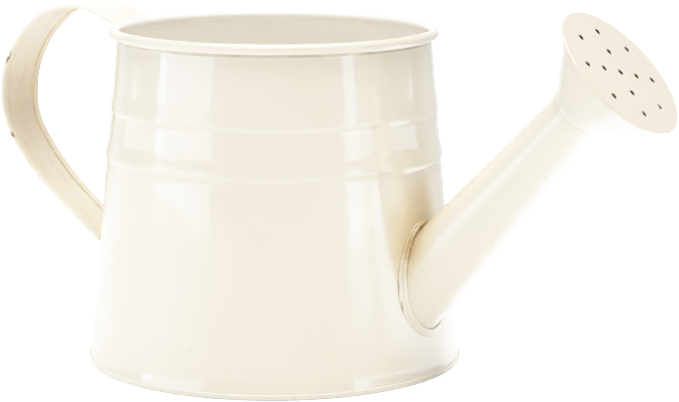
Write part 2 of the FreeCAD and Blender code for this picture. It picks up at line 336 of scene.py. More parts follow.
# ------------ the body
def wall_plain(z):
    """Outside radius of the straight cone at a height."""
    slope = (WALL_LOW[1] - WALL_HIGH[1]) / (WALL_HIGH[0] - WALL_LOW[0])
    return WALL_LOW[1] - (z - WALL_LOW[0]) * slope


def wall_line(z):
    """Outside radius of the wall at a height, with its beads and foot flare."""
    if z <= HEM_HEIGHT:
        return FLANGE_RADIUS
    radius = wall_plain(z)
    if z < FLARE_TOP:
        turn = (FLARE_TOP - z) / (FLARE_TOP - HEM_HEIGHT)
        radius += (FLANGE_RADIUS - wall_plain(HEM_HEIGHT)) * turn * turn
    for crest, proud in BEADS:
        if crest - BEAD_BELOW < z <= crest:
            radius += proud * smooth((z - crest + BEAD_BELOW) / BEAD_BELOW)
        elif crest < z < crest + BEAD_ABOVE:
            radius += proud * smooth(1 - (z - crest) / BEAD_ABOVE)
    return radius


def wall_heights():
    """Heights of the wall's rings of points, close together where it curves."""
    heights = [FLANGE_LOW] + span(HEM_HEIGHT, FLARE_TOP, 0.8)
    here = FLARE_TOP
    for crest, _ in BEADS:
        low = crest - BEAD_BELOW
        high = crest + BEAD_ABOVE
        if low > here:
            heights += span(here, low, 2.5)[1:]
        heights += span(low, crest, 0.26)[1:] + span(crest, high, 0.5)[1:]
        here = high
    return heights + span(here, CREVICE, 2.5)[1:]


def body_angles():
    """Even divisions round the body, with extra ones at the two edges of the lap seam."""
    seam = math.degrees(SEAM_HALF / WALL_LOW[1])
    angles = [360.0 * i / BODY_SIDES for i in range(BODY_SIDES)]
    angles = [a for a in angles if abs(abs(a - 180) - seam) > 0.5]
    for edge in (180 - seam, 180 + seam):
        angles += [edge - 0.16, edge - 0.05, edge + 0.05, edge + 0.16]
    return [math.radians(a) for a in sorted(angles)]


def dents(angle, z):
    """How far hand-made sheet stands off its true cone, in millimetres."""
    x = math.cos(angle)
    y = math.sin(angle)
    fade = smooth(z / 12) * smooth((137 - z) / 10)
    large = LARGE_DENTS * wobble(x * 1.6, y * 1.6, z * 0.022, 1)
    small = SMALL_DENTS * wobble(x * 5, y * 5, z * 0.06, 2)
    return fade * (large + small)


def seam_rise(angle, z):
    """How far the outer layer of the lap seam, at the back, stands off the wall."""
    across = abs(angle - math.pi) * WALL_LOW[1]
    if z < SEAM_LOW or z > SEAM_HIGH:
        return 0.0
    ends = smooth((z - SEAM_LOW) / 1.5) * smooth((SEAM_HIGH - z) / 1.5)
    return SHEET * ends * smooth((SEAM_HALF + 0.2 - across) / 0.4)


def curl_points(angles, reach):
    """Points of the rolled rim's profile, at one distance from the middle of its roll."""
    turns = [math.radians(angle) for angle in angles]
    return [(RIM_RADIUS + reach * math.cos(t), RIM_HEIGHT + reach * math.sin(t), 0) for t in turns]


def make_wall():
    """Its profile is (radius, height, side), where side is 1 outside, -1 inside and 0 in the curl."""
    heights = wall_heights()
    profile = [(wall_line(z), z, 1) for z in heights]
    profile += curl_points(span(CURL_END, CURL_START, 18), RIM_ROLL - SHEET)
    profile += curl_points(span(CURL_START, CURL_OUTSIDE_END, 12), RIM_ROLL)
    profile += [(wall_line(z) - SHEET, z, -1) for z in reversed(heights)]
    angles = body_angles()
    points = []
    for radius, z, side in profile:
        for angle in angles:
            r = radius
            if side:
                r += dents(angle, z)
            if side > 0:
                r += seam_rise(angle, z)
            points.append(Vector((r * math.cos(angle), r * math.sin(angle), z)))
    faces = tube_faces(len(profile), len(angles))
    wall = finish_mesh("wall", points, faces, "can", ["body_wall"])
    cut_away(wall, spout_plug())
    tidy_mesh(wall)
    return wall


def spout_plug():
    """A lump a hair wider than the spout, to cut its hole in the wall."""
    sides = 96
    points = []
    for distance in (SPOUT_GAUGE[0] - 35, SPOUT_GAUGE[0] + 60):
        points += [spout_point(distance, math.radians(360 * k / sides), 0.02) for k in range(sides)]
    faces = tube_faces(2, sides, False)
    faces.append(tuple(range(sides - 1, -1, -1)))
    faces.append(tuple(range(sides, 2 * sides)))
    return add_mesh("plug", [p * MM for p in points], faces)


def make_base():
    """The recessed floor, folded down and then up round the wall's foot as a hem."""
    riser = FOOT_RADIUS - 3 * SHEET - HEM_ROOM
    top = FLOOR_UNDER + SHEET
    step = STEP_RADIUS - STEP_WIDTH
    outline = rounded((
        (0.0, FLOOR_UNDER + STEP_RISE, 0),
        (step, FLOOR_UNDER + STEP_RISE, 2.0),
        (STEP_RADIUS, FLOOR_UNDER, 2.0),
        (riser, FLOOR_UNDER, 1.0),
        (riser, 0, 0.5),
        (FOOT_RADIUS, 0, 0.55),
        (FOOT_RADIUS, HEM_HEIGHT, 0.28),
        (FOOT_RADIUS - SHEET, HEM_HEIGHT, 0.28),
        (FOOT_RADIUS - SHEET, SHEET, 0),
        (riser + SHEET, SHEET, 0),
        (riser + SHEET, top, 1.6),
        (STEP_RADIUS, top, 2.0),
        (step, top + STEP_RISE, 2.0),
        (0.0, top + STEP_RISE, 0),
    ))
    return lathe("base", outline[1:-1], "can", ["base_pan"], ends=(outline[0], outline[-1]))


# ------------ the spout
def spout_frame():
    """The spout's direction, and the direction square to it that points up."""
    turn = math.radians(SPOUT_ANGLE)
    along = Vector((math.cos(turn), 0, math.sin(turn)))
    over = Vector((-math.sin(turn), 0, math.cos(turn)))
    return along, over


def spout_point(distance, angle, offset):
    """A point at a distance along the spout's axis, round it by angle (0 on top), offset outwards."""
    along, over = spout_frame()
    radius = SPOUT_GAUGE[1] - (distance - SPOUT_GAUGE[0]) * SPOUT_TAPER + offset
    out = over * math.cos(angle) + Vector((0, 1, 0)) * math.sin(angle)
    return Vector((0, 0, -SPOUT_DROP)) + along * distance + out * radius


def root_distance(angle, offset, height):
    """How far along its axis the spout's side, moved out by offset, is height above the wall, by halving."""
    low = 60.0
    high = 175.0
    for _ in range(30):
        middle = (low + high) / 2
        p = spout_point(middle, angle, offset)
        if math.hypot(p.x, p.y) < wall_plain(p.z) + height:
            low = middle
        else:
            high = middle
    return (low + high) / 2


def root_point(angle, offset, height):
    """A point round the spout's root, offset outwards and height above the wall."""
    return spout_point(root_distance(angle, offset, height), angle, offset)


def flange_width(angle):
    """The flange is wider on the -Y side, and narrower below that, where it was trimmed by hand."""
    wide = max(0.0, math.cos(angle + math.radians(85))) ** 3
    narrow = max(0.0, math.cos(angle + math.radians(150))) ** 3
    return FLANGE_WIDTH * (1 + 0.45 * wide - 0.35 * narrow)


def make_spout():
    """The tube with its flange on the wall and its rounded lip. Each row is (angle, distance, offset) points:
    out along the flange, up the outside, over the lip and back down the inside."""
    flange = ((0.0, -SPOUT_ROOT_DEPTH), (0.0, -0.6), (0.0, 0.0), (FLANGE_WIDTH - 0.1, 0.0),
              (FLANGE_WIDTH, 0.2), (FLANGE_WIDTH, 0.45), (FLANGE_WIDTH - 0.25, 0.68),
              (FLANGE_WIDTH - 0.6, FLANGE_THICK), (0.5, FLANGE_THICK), (0.15, 0.85), (0.0, 1.3), (0.0, 2.5))
    lip = ((0.0, -0.25), (-0.12, -0.05), (-0.3, 0.0), (-0.48, -0.05), (-SHEET, -0.25))
    angles = circle(SPOUT_SIDES)
    rows = []
    for offset, height in flange:
        reaches = [offset * flange_width(a) / FLANGE_WIDTH for a in angles]
        rows.append([(a, root_distance(a, reach, height), reach) for a, reach in zip(angles, reaches)])
    outside = [distance for _, distance, _ in rows[-1]]
    inside = [root_distance(a, -SHEET, -SPOUT_ROOT_DEPTH) for a in angles]
    pieces = 37
    rows += [spout_row(outside, i / pieces, 0.0) for i in range(1, pieces)]
    for offset, back in lip:
        rows.append([(a, SPOUT_TIP + back, offset) for a in angles])
    rows += [spout_row(inside, i / pieces, -SHEET) for i in range(pieces - 1, -1, -1)]
    points = []
    for row in rows:
        for angle, distance, offset in row:
            # no ripple near the root or the tip, where other pieces fit the spout
            fade = smooth((distance - 110) / 20) * smooth((SPOUT_TIP - 15 - distance) / 10)
            wave = wobble(math.cos(angle), math.sin(angle), distance * 0.03, 3)
            points.append(spout_point(distance, angle, offset + SPOUT_RIPPLE * wave * fade))
    faces = tube_faces(len(rows), SPOUT_SIDES)
    return finish_mesh("spout", points, faces, "can", ["spout_tube"])


def spout_row(starts, share, offset):
    """A ring of points that share of the way from the root, where each has its own start, to the tip."""
    angles = circle(SPOUT_SIDES)
    return [(a, d + (SPOUT_TIP - 1 - d) * share, offset) for a, d in zip(angles, starts)]


def make_root_ring():
    """The rolled fillet that lies on the spout's flange."""
    section = ((0.03, 0.72), (0.05, 1.15), (0.22, 1.5), (0.6, 1.72), (1.1, 1.66), (1.55, 1.4), (1.85, 1.05),
               (1.95, 0.72))
    points = []
    for offset, height in section:
        for angle in circle(SPOUT_SIDES):
            lump = 1 + 0.16 * wobble(math.cos(angle) * 6, math.sin(angle) * 6, 0, 4)
            points.append(root_point(angle, offset, FLANGE_THICK + (height - FLANGE_THICK) * lump))
    faces = tube_faces(len(section), SPOUT_SIDES)
    return finish_mesh("spout_root_fillet", points, faces, "can", ["spout_solder"])


# ------------ the rose
def rose_place():
    """Where the rose's own axes stand: its face's centre, with z out along the rose's axis."""
    turn = math.radians(ROSE_ANGLE)
    across = Vector((0, 1, 0))
    up = Vector((-math.sin(turn), 0, math.cos(turn)))
    out = Vector((math.cos(turn), 0, math.sin(turn)))
    place = Matrix((across, up, out)).transposed().to_4x4()
    place.translation = Vector((ROSE_FACE[0], 0, ROSE_FACE[1]))
    return place


def make_rose_cone():
    """The cone between its neck and the rim that the face is crimped over; inner_start is where its inside
    leaves the neck."""
    back = -2 * ROSE_SHEET - GAP
    edge = ROSE_RADIUS - ROSE_SHEET - GAP
    slant = math.atan((CONE_FRONT - NECK_RADIUS) / (ROSE_DEPTH + back))
    inner_start = -ROSE_DEPTH + (ROSE_SHEET / math.cos(slant) - ROSE_SHEET) / math.tan(slant)
    outline = rounded((
        (NECK_RADIUS, -ROSE_DEPTH - NECK_LIP, 0.2),
        (NECK_RADIUS, -ROSE_DEPTH, 1.0),
        (CONE_FRONT, back, 0.5),
        (edge, back, 0),
        (edge, back + ROSE_SHEET, 0),
        (CONE_FRONT - 0.25, back + ROSE_SHEET, 1.0),
        (NECK_RADIUS - ROSE_SHEET, inner_start, 0.5),
        (NECK_RADIUS - ROSE_SHEET, -ROSE_DEPTH - NECK_LIP, 0.2),
    ))

    def shift(p):
        out = Vector((p.x, p.y, 0)).normalized()
        middle = smooth((p.z + ROSE_DEPTH) / 6) * smooth((-2.5 - p.z) / 4)
        return out * CONE_WAVE * middle * wobble(out.x * 1.5, out.y * 1.5, p.z * 0.08, 5)

    return lathe("rose_back", divided(outline, 1.6), "rose", ["rose_cone"], columns=ROSE_SIDES,
                 place=rose_place(), shift=shift)


def hole_centres():
    """One hole in the middle and a ring of them for each of HOLE_RINGS, on the rose's own axes."""
    centres = [Vector((0, 0, 0))]
    for radius, count in HOLE_RINGS:
        for i in range(count):
            turn = math.radians(HOLE_TURN + 360 * i / count)
            centres.append(Vector((radius * math.cos(turn), radius * math.sin(turn), 0)))
    return centres


def make_rose_face():
    """The disc, crimped round the cone's edge, dished and punched at its holes."""
    lap = ROSE_RADIUS - CRIMP_LAP
    leg = CRIMP_DEPTH - ROSE_SHEET
    outline = rounded((
        (0, 0, 0),
        (ROSE_RADIUS, 0, 0.45),
        (ROSE_RADIUS, -CRIMP_DEPTH, 0.4),
        (lap, -CRIMP_DEPTH, 0.15),
        (lap, -leg, 0.15),
        (ROSE_RADIUS - ROSE_SHEET, -leg, 0),
        (ROSE_RADIUS - ROSE_SHEET, -ROSE_SHEET, 0),
        (0, -ROSE_SHEET, 0),
    ), 6)
    hub = 0.3                   # inside this radius one fan of triangles closes the disc
    rows = [p for p in divided(outline, 0.8) if p.x > hub]
    centres = hole_centres()

    def shift(p):
        plane = Vector((p.x, p.y, 0))
        sink = sum(HOLE_DISH * math.exp(-((plane - c).length / DISH_REACH) ** 2) for c in centres)
        wave = ROSE_WAVE * wobble(p.x * 0.06, p.y * 0.06, 0, 6) * smooth((ROSE_RADIUS - 2 - plane.length) / 6)
        return Vector((0, 0, wave - sink))

    face = lathe("rose_front", rows, "rose", ["rose_face"], ends=(outline[0], outline[-1]),
                 columns=ROSE_SIDES, place=rose_place(), shift=shift)
    cut_away(face, hole_cutters(centres))
    tidy_mesh(face)
    return face


def hole_cutters(centres):
    """Punches that widen at the front face, so that each hole's edge is rounded over."""
    rows = ((-3.0, 0.0), (-0.3, 0.0), (-0.16, 0.08), (1.0, 0.9))    # depth, and how much wider than the hole
    place = rose_place()
    points = []
    faces = []
    for centre in centres:
        first = len(points)
        for depth, widen in rows:
            for angle in circle(HOLE_SIDES):
                radius = HOLE_DIAMETER / 2 + widen
                p = centre + Vector((radius * math.cos(angle), radius * math.sin(angle), depth))
                points.append(place @ p)
        last = first + (len(rows) - 1) * HOLE_SIDES
        faces += [tuple(first + v for v in face) for face in tube_faces(len(rows), HOLE_SIDES, False)]
        faces.append(tuple(first + k for k in range(HOLE_SIDES - 1, -1, -1)))
        faces.append(tuple(last + k for k in range(HOLE_SIDES)))
    return add_mesh("punches", [p * MM for p in points], faces)


# ------------ the handle
def strap_half(z):
    """Half the strap's width at a height."""
    return (STRAP_LOW_WIDTH + STRAP_WIDENING * z) / 2


def strap_path():
    """Points along the strap's outside face, from the foot tab to the top tab, in the plane y = 0."""
    longest = 1.5
    foot = FOOT_TAB[0]
    top = TOP_TAB[0]
    corners = (
        (-wall_plain(foot) - SHEET - STRAP_SHEET, foot, 0),
        (-wall_plain(STRAP_BEND_LOW) - SHEET - STRAP_SHEET, STRAP_BEND_LOW, 4.0),
        *STRAP_CORNERS,
        (-wall_plain(STRAP_BEND_TOP) - SHEET, STRAP_BEND_TOP, 3.0),
        (-wall_plain(top) - SHEET, top, 0),
    )
    line = rounded_open(corners, longest)
    fine = []
    for a, b in zip(line, line[1:]):
        pieces = max(1, math.ceil((b - a).length / longest))
        fine += [a.lerp(b, k / pieces) for k in range(pieces)]
    fine.append(line[-1])
    return fine


def strap_section(hem, half):
    """Outline across the strap as (across, depth); hem is 0 for plain sheet and 1 for a full hem."""
    full = STRAP_SHEET * (1 + hem)
    runs = 8                    # pieces across each flat face
    flat = 2 * half - 2 * FLAT_MARGIN
    section = [(-half + FLAT_MARGIN + flat * k / runs, 0.0) for k in range(runs + 1)]
    for angle in span(-90, 90, 22.5):
        turn = math.radians(angle)
        section.append((half - full / 2 + full / 2 * math.cos(turn), full / 2 + full / 2 * math.sin(turn)))
    lip = half - STRAP_HEM
    inner = ((lip + FLAT_MARGIN, full), (lip + 0.35, full - 0.02), (lip + 0.08, full - 0.18 * hem),
             (lip, full - 0.45 * hem), (lip - 0.05, STRAP_SHEET), (lip - HEM_MARGIN, STRAP_SHEET))
    section += inner
    back = 2 * HEM_MARGIN - 2 * lip
    section += [(lip - HEM_MARGIN + back * k / runs, STRAP_SHEET) for k in range(1, runs)]
    section += [(-x, depth) for x, depth in reversed(inner)]
    for angle in span(90, 270, 22.5):
        turn = math.radians(angle)
        section.append((-half + full / 2 + full / 2 * math.cos(turn), full / 2 + full / 2 * math.sin(turn)))
    return section


def make_strap():
    """The strap, swept along its path: hemmed except at its tabs, which lie round the wall."""
    path = strap_path()
    lengths = [0.0]
    for a, b in zip(path, path[1:]):
        lengths.append(lengths[-1] + (b - a).length)
    total = lengths[-1]
    points = []
    for i, here in enumerate(path):
        before = path[max(i - 1, 0)]
        after = path[min(i + 1, len(path) - 1)]
        along = (after - before).normalized()
        inward = Vector((along.y, -along.x))
        at = lengths[i]
        half = strap_half(here.y)
        hem = smooth((at - HEM_START) / HEM_GROWTH) * smooth((total - at - HEM_END) / HEM_GROWTH)
        foot_hug = smooth((FOOT_HUG[0] - at) / FOOT_HUG[1])
        hug = max(foot_hug, smooth((at - total + TOP_HUG[0]) / TOP_HUG[1]))
        reach = wall_plain(min(here.y, RIM_HEIGHT))
        for across, depth in strap_section(hem, half):
            bow = STRAP_BOW * wobble(at * 0.03, across * 0.05, 0, 7)
            bow = bow * smooth(at / 30) * smooth((total - at) / 30)
            edge = STRAP_WAVER * wobble(at * 0.09, 3 if across > 0 else -3, 0, 8) * abs(across) / half
            p = here + inward * (depth + bow)
            sag = reach - math.sqrt(reach ** 2 - across ** 2)
            points.append(Vector((p.x + hug * sag, across + edge, p.y)))
    columns = len(points) // len(path)
    faces = tube_faces(len(path), columns, False)
    last = (len(path) - 1) * columns
    faces.append(tuple(range(columns - 1, -1, -1)))
    faces.append(tuple(last + k for k in range(columns)))
    return finish_mesh("handle", points, faces, "can", ["handle_strap"])


def make_bed(name, tab, replaced, seed):
    """A thin lumpy pillow of solder on the wall, under a tab and a little beyond its edges."""
    low = tab[0] - BED_MARGIN
    high = tab[1]
    columns = 60
    rows = 30
    points = []
    for side in (1, -1):
        for i in range(rows + 1):
            z = low + (high - low) * i / rows
            half = strap_half(z) + BED_MARGIN
            for k in range(columns + 1):
                y = -half + 2 * half * k / columns
                rim = min(half - abs(y), z - low, high - z) / BED_MARGIN
                lump = 1 + 0.2 * wobble(y * 0.35, z * 0.35, 0, seed)
                height = BED_HEIGHT * math.sqrt(smooth(rim)) * lump
                reach = wall_plain(z) + (height if side > 0 else -0.05)
                points.append(Vector((-math.sqrt(reach ** 2 - y * y), y, z)))
    faces = []
    width = columns + 1
    size = width * (rows + 1)
    for i in range(rows):
        for k in range(columns):
            quad = (i * width + k, i * width + k + 1, (i + 1) * width + k + 1, (i + 1) * width + k)
            faces.append(quad)
            faces.append(tuple(size + v for v in reversed(quad)))
    border = list(range(width))
    border += [i * width + columns for i in range(1, rows + 1)]
    border += [rows * width + k for k in range(columns - 1, -1, -1)]
    border += [i * width for i in range(rows - 1, 0, -1)]
    for a, b in zip(border, border[1:] + border[:1]):
        faces.append((a, b, size + b, size + a))
    return finish_mesh(name, points, faces, "can", [replaced], sharp=60.0)


# ------------ materials
class Tree:
    """Short names for building a node tree."""

    def __init__(self, tree):
        self.tree = tree

    def add(self, kind, **values):
        """A node of some kind, with its properties set."""
        node = self.tree.nodes.new(kind)
        for key, value in values.items():
            setattr(node, key, value)
        return node

    def link(self, source, target):
        self.tree.links.new(source, target)

    def math(self, operation, *values):
        node = self.add("ShaderNodeMath", operation=operation)
        for socket, value in zip(node.inputs, values):
            if isinstance(value, (int, float)):
                socket.default_value = value
            else:
                self.link(value, socket)
        return node.outputs[0]

    def times(self, first, *others):
        """The product of two or more values."""
        for other in others:
            first = self.math("MULTIPLY", first, other)
        return first

    def vector(self, operation, a, b=None):
        """A vector operation; a plain number as b is its scale."""
        node = self.add("ShaderNodeVectorMath", operation=operation)
        for socket, value in zip(node.inputs, (a, b)):
            if isinstance(value, (tuple, Vector)):
                socket.default_value = value
            elif isinstance(value, float):
                node.inputs["Scale"].default_value = value
            elif value is not None:
                self.link(value, socket)
        return node.outputs["Value" if operation in ("LENGTH", "DOT_PRODUCT") else "Vector"]

    def remap(self, value, low, high, to_low=0.0, to_high=1.0):
        """Moves values smoothly from the range low to high into another, and clamps them there."""
        node = self.add("ShaderNodeMapRange", clamp=True)
        node.interpolation_type = "SMOOTHSTEP"
        for key, number in (("From Min", low), ("From Max", high), ("To Min", to_low), ("To Max", to_high)):
            node.inputs[key].default_value = number
        self.link(value, node.inputs["Value"])
        return node.outputs["Result"]


class Nodes(Tree):
    """One material's node tree; its patterns ride with the piece they are on."""

    def __init__(self, name):
        self.material = bpy.data.materials.new(name)
        self.material.use_nodes = True
        super().__init__(self.material.node_tree)
        self.shader = self.tree.nodes["Principled BSDF"]
        self.position = self.add("ShaderNodeTexCoord").outputs["Object"]

    def noise(self, scale, detail=3.0, rough=0.5, stretch=None):
        """Noise over the surface; scale is in features per metre."""
        node = self.add("ShaderNodeTexNoise")
        node.inputs["Scale"].default_value = scale
        node.inputs["Detail"].default_value = detail
        node.inputs["Roughness"].default_value = rough
        source = self.position
        if stretch:
            mapping = self.add("ShaderNodeMapping")
            mapping.inputs["Scale"].default_value = stretch
            self.link(source, mapping.inputs["Vector"])
            source = mapping.outputs["Vector"]
        self.link(source, node.inputs["Vector"])
        return node.outputs["Fac"]

    def mix(self, factor, a, b):
        """Colour a where factor is 0, and b where it is 1."""
        node = self.add("ShaderNodeMix", data_type="RGBA")
        self.link(factor, node.inputs["Factor"])
        for socket, value in ((node.inputs[6], a), (node.inputs[7], b)):
            if isinstance(value, tuple):
                socket.default_value = (*value, 1.0)
            else:
                self.link(value, socket)
        return node.outputs[2]

    def near(self, point, inner, outer, squash=(1.0, 1.0, 1.0)):
        """1 within inner metres of a point, falling to 0 at outer."""
        mapping = self.add("ShaderNodeMapping", vector_type="TEXTURE")
        mapping.inputs["Location"].default_value = point
        mapping.inputs["Scale"].default_value = squash
        self.link(self.position, mapping.inputs["Vector"])
        return self.remap(self.vector("LENGTH", mapping.outputs["Vector"]), inner, outer, 1.0, 0.0)

    def facing(self, towards):
        """How squarely the surface faces up, the can's axis, or the rose's axis."""
        normal = self.add("ShaderNodeNewGeometry").outputs["Normal"]
        if towards == "up":
            return self.vector("DOT_PRODUCT", normal, (0.0, 0.0, 1.0))
        out = self.vector("MULTIPLY", self.position, (1.0, 1.0, 0.0))
        if towards == "rose":
            place = rose_place()
            off = self.vector("SUBTRACT", self.position, tuple(place.translation * MM))
            out = self.vector("SUBTRACT", off, self.vector("PROJECT", off, tuple(place.col[2][:3])))
        inward = self.vector("NORMALIZE", self.vector("SCALE", out, -1.0))
        return self.vector("DOT_PRODUCT", normal, inward)

    def near_any(self, points, inner, outer, squash=(1.0, 1.0, 1.0)):
        """The greatest of near() for several points."""
        most = self.near(points[0], inner, outer, squash)
        for point in points[1:]:
            most = self.math("MAXIMUM", most, self.near(point, inner, outer, squash))
        return most

    def bump(self, height, strength, distance, below=None):
        """A bumped normal, on top of another if below is given; distance is in metres."""
        node = self.add("ShaderNodeBump")
        node.inputs["Strength"].default_value = strength
        node.inputs["Distance"].default_value = distance
        self.link(height, node.inputs["Height"])
        if below is not None:
            self.link(below, node.inputs["Normal"])
        return node.outputs["Normal"]


# colours, and painted light and shade by facing: lighter inside the can's wall and on the floor's top, near
# black inside the rose
CREAM = (0.715, 0.64, 0.505)
CREAM_DEEP = (0.68, 0.595, 0.45)
PAINTED_LIGHT_AND_SHADE = {"axis": (0.98, 0.94, 0.86), "up": (0.86, 0.80, 0.69), "rose": (0.10, 0.09, 0.08)}
CONE_CREAM = (0.745, 0.685, 0.585)
FACE_CREAM = (0.635, 0.55, 0.42)
HANDLE_CREAM = (0.81, 0.73, 0.60)
HANDLE_DEEP = (0.73, 0.625, 0.45)
TAN = (0.58, 0.445, 0.22)
SHADE_BROWN = (0.30, 0.22, 0.11)
AMBER = (0.46, 0.30, 0.12)
RUST = (0.26, 0.14, 0.05)


def enamel(name, base, deep, stain=0.0, ring=0.0, inside="", shade_bands=(), shade_spots=()):
    """Glossy cream enamel with a clear skin, mottled and specked. stain is how strongly the coat is tanned
    near the top of the spout's root, and ring how much dark crust there is there. inside names the faces that
    get painted light or shade in a colour of their own, chosen by which way they face. Painted shade darkens
    some heights, each given with its reach in metres, and some spots."""
    n = Nodes(name)
    mottling = n.remap(n.noise(14, 2, 0.4), 0.35, 0.7)
    colour = n.mix(n.times(mottling, 0.6), base, deep)
    # painted light and shade: faces turned the given way take their own colour
    if inside:
        colour = n.mix(n.remap(n.facing(inside), 0.1, 0.3), colour, PAINTED_LIGHT_AND_SHADE[inside])
    fine = n.remap(n.noise(420, 2, 0.6), 0.42, 0.6)
    colour = n.mix(n.times(fine, 0.05), colour, deep)
    specks = n.remap(n.noise(900, 1, 0.4), 0.755, 0.785)
    patchy = n.remap(n.noise(40, 2, 0.5), 0.52, 0.64)
    colour = n.mix(n.times(specks, patchy, 0.5), colour, RUST)
    height = n.vector("DOT_PRODUCT", n.position, (0.0, 0.0, 1.0))
    patches = n.remap(n.noise(55, 4, 0.6), 0.35, 0.6, 0.35, 1.0)
    # painted shade: each band darkens the coat round one height, broken into patches
    for middle, reach in shade_bands:
        off = n.math("ABSOLUTE", n.math("SUBTRACT", height, middle))
        band = n.times(n.remap(off, 0.4 * reach, reach, 0.7, 0.0), patches)
        outside = n.remap(n.facing("axis"), -0.1, 0.1, 1.0, 0.0)    # none on the wall's inside
        colour = n.mix(n.times(band, outside), colour, SHADE_BROWN)
    if stain:
        cloud = n.remap(n.noise(90, 3, 0.5), 0.25, 0.75, 0.6, 1.0)
        zone = n.near_any(ROOT_STAINS, 0.0015, 0.016, (1.0, 1.0, 1.5))
        colour = n.mix(n.times(zone, cloud, stain), colour, TAN)
    if ring:
        zone = n.near_any(ROOT_STAINS, 0.003, 0.009)
        colour = n.mix(n.times(zone, ring), colour, AMBER)
        crust = n.remap(n.noise(800, 4, 0.65), 0.47, 0.62)
        colour = n.mix(n.times(zone, crust, ring), colour, RUST)
    # painted shade: short upright dark streaks at these spots
    for place in shade_spots:
        spot = n.near(place, 0.0003, 0.0010, (1.0, 1.0, 6.0))
        colour = n.mix(n.times(spot, 0.7), colour, SHADE_BROWN)
    return lacquered(n, colour)


def lacquered(n, colour, rough_low=0.29, rough_high=0.40, peel=0.03, coat=1.0):
    """Joins a colour to the shader with the enamel's gloss, orange peel and hairline scratches."""
    n.link(colour, n.shader.inputs["Base Color"])
    n.link(n.remap(n.noise(60, 2, 0.5), 0.3, 0.75, rough_low, rough_high), n.shader.inputs["Roughness"])
    n.shader.inputs["IOR"].default_value = 1.5
    n.shader.inputs["Coat Weight"].default_value = coat
    n.shader.inputs["Coat Roughness"].default_value = 0.04
    n.shader.inputs["Coat IOR"].default_value = 1.55
    skin = n.bump(n.noise(620, 2, 0.5), peel, 0.0004)
    scratches = n.remap(n.noise(130, 2, 0.5, (1.0, 1.0, 14.0)), 0.62, 0.66)
    normal = n.bump(scratches, 0.03, 0.0002, skin)
    n.link(normal, n.shader.inputs["Normal"])
    n.link(skin, n.shader.inputs["Coat Normal"])
    return n.material


def handle_enamel():
    """The strap's thinner, stained enamel: streaks along it, painted shade along the hems' steps, chips down
    to rusty edges.
    """
    n = Nodes("enamel_handle")
    parts = n.add("ShaderNodeSeparateXYZ")
    n.link(n.position, parts.inputs[0])
    half = n.math("MULTIPLY_ADD", parts.outputs["Z"], STRAP_WIDENING / 2, STRAP_LOW_WIDTH / 2 * MM)
    inset = n.math("SUBTRACT", half, n.math("ABSOLUTE", parts.outputs["Y"]))
    streaks = n.remap(n.noise(110, 5, 0.6, (0.22, 1.0, 0.22)), 0.35, 0.65)
    colour = n.mix(n.times(streaks, 0.4), HANDLE_CREAM, HANDLE_DEEP)
    bend = n.near((-0.142, 0.0, 0.098), 0.006, 0.045, (1.0, 3.0, 1.1))
    patina = n.times(bend, n.remap(n.noise(60, 4, 0.6, (0.5, 1.0, 0.5)), 0.25, 0.7, 0.5, 1.0))
    colour = n.mix(n.times(patina, 0.12), colour, TAN)
    blotch = n.remap(n.noise(190, 5, 0.7, (0.5, 1.0, 0.5)), 0.55, 0.66)
    colour = n.mix(n.times(blotch, 0.35), colour, TAN)
    # painted shade: a dark line along each hem's step, broken into patches
    step = n.math("ABSOLUTE", n.math("SUBTRACT", inset, STRAP_HEM * MM))
    hem_shade_patches = n.remap(n.noise(90, 4, 0.6), 0.4, 0.6, 0.2, 1.0)
    hem_shade = n.times(n.remap(step, 0.0001, 0.0009, 1.0, 0.0), hem_shade_patches)
    colour = n.mix(n.times(hem_shade, 0.4), colour, TAN)
    edge = n.remap(inset, 0.0002, 0.0016, 1.0, 0.0)
    edge = n.times(edge, n.remap(n.noise(330, 4, 0.7), 0.46, 0.54))
    edge = n.times(edge, n.remap(parts.outputs["Y"], -0.001, 0.001, 1.0, 0.0))
    for height, reach in CHIPS:
        off = n.math("ABSOLUTE", n.math("SUBTRACT", parts.outputs["Z"], height * MM))
        chip = n.remap(off, 0.4 * reach * MM, reach * MM, 1.0, 0.0)
        colour = n.mix(n.times(edge, chip), colour, RUST)
    return lacquered(n, colour, 0.45, 0.65, 0.12, 0.25)


def bare_metal(name, tone, rough_low, rough_high):
    """Dull metal with cloudy darker patches."""
    n = Nodes(name)
    cloud = n.remap(n.noise(120, 5, 0.65), 0.3, 0.7)
    dark = tuple(c * 0.6 for c in tone)
    n.link(n.mix(cloud, dark, tone), n.shader.inputs["Base Color"])
    n.shader.inputs["Metallic"].default_value = 1.0
    n.link(n.remap(n.noise(200, 4, 0.6), 0.3, 0.7, rough_low, rough_high), n.shader.inputs["Roughness"])
    n.link(n.bump(n.noise(900, 3, 0.6), 0.15, 0.0002), n.shader.inputs["Normal"])
    return n.material


def paint(obj, material):
    """Gives a piece one material and no other."""
    obj.data.materials.clear()
    obj.data.materials.append(material)


# ------------ stage, light and camera
def around_camera(side, distance, height=0.0):
    """A place at some distance from the can, on a side given in degrees right of the camera's side."""
    turn = math.radians(CAMERA_SIDE + side)
    return Vector((distance * math.sin(turn), -distance * math.cos(turn), height))


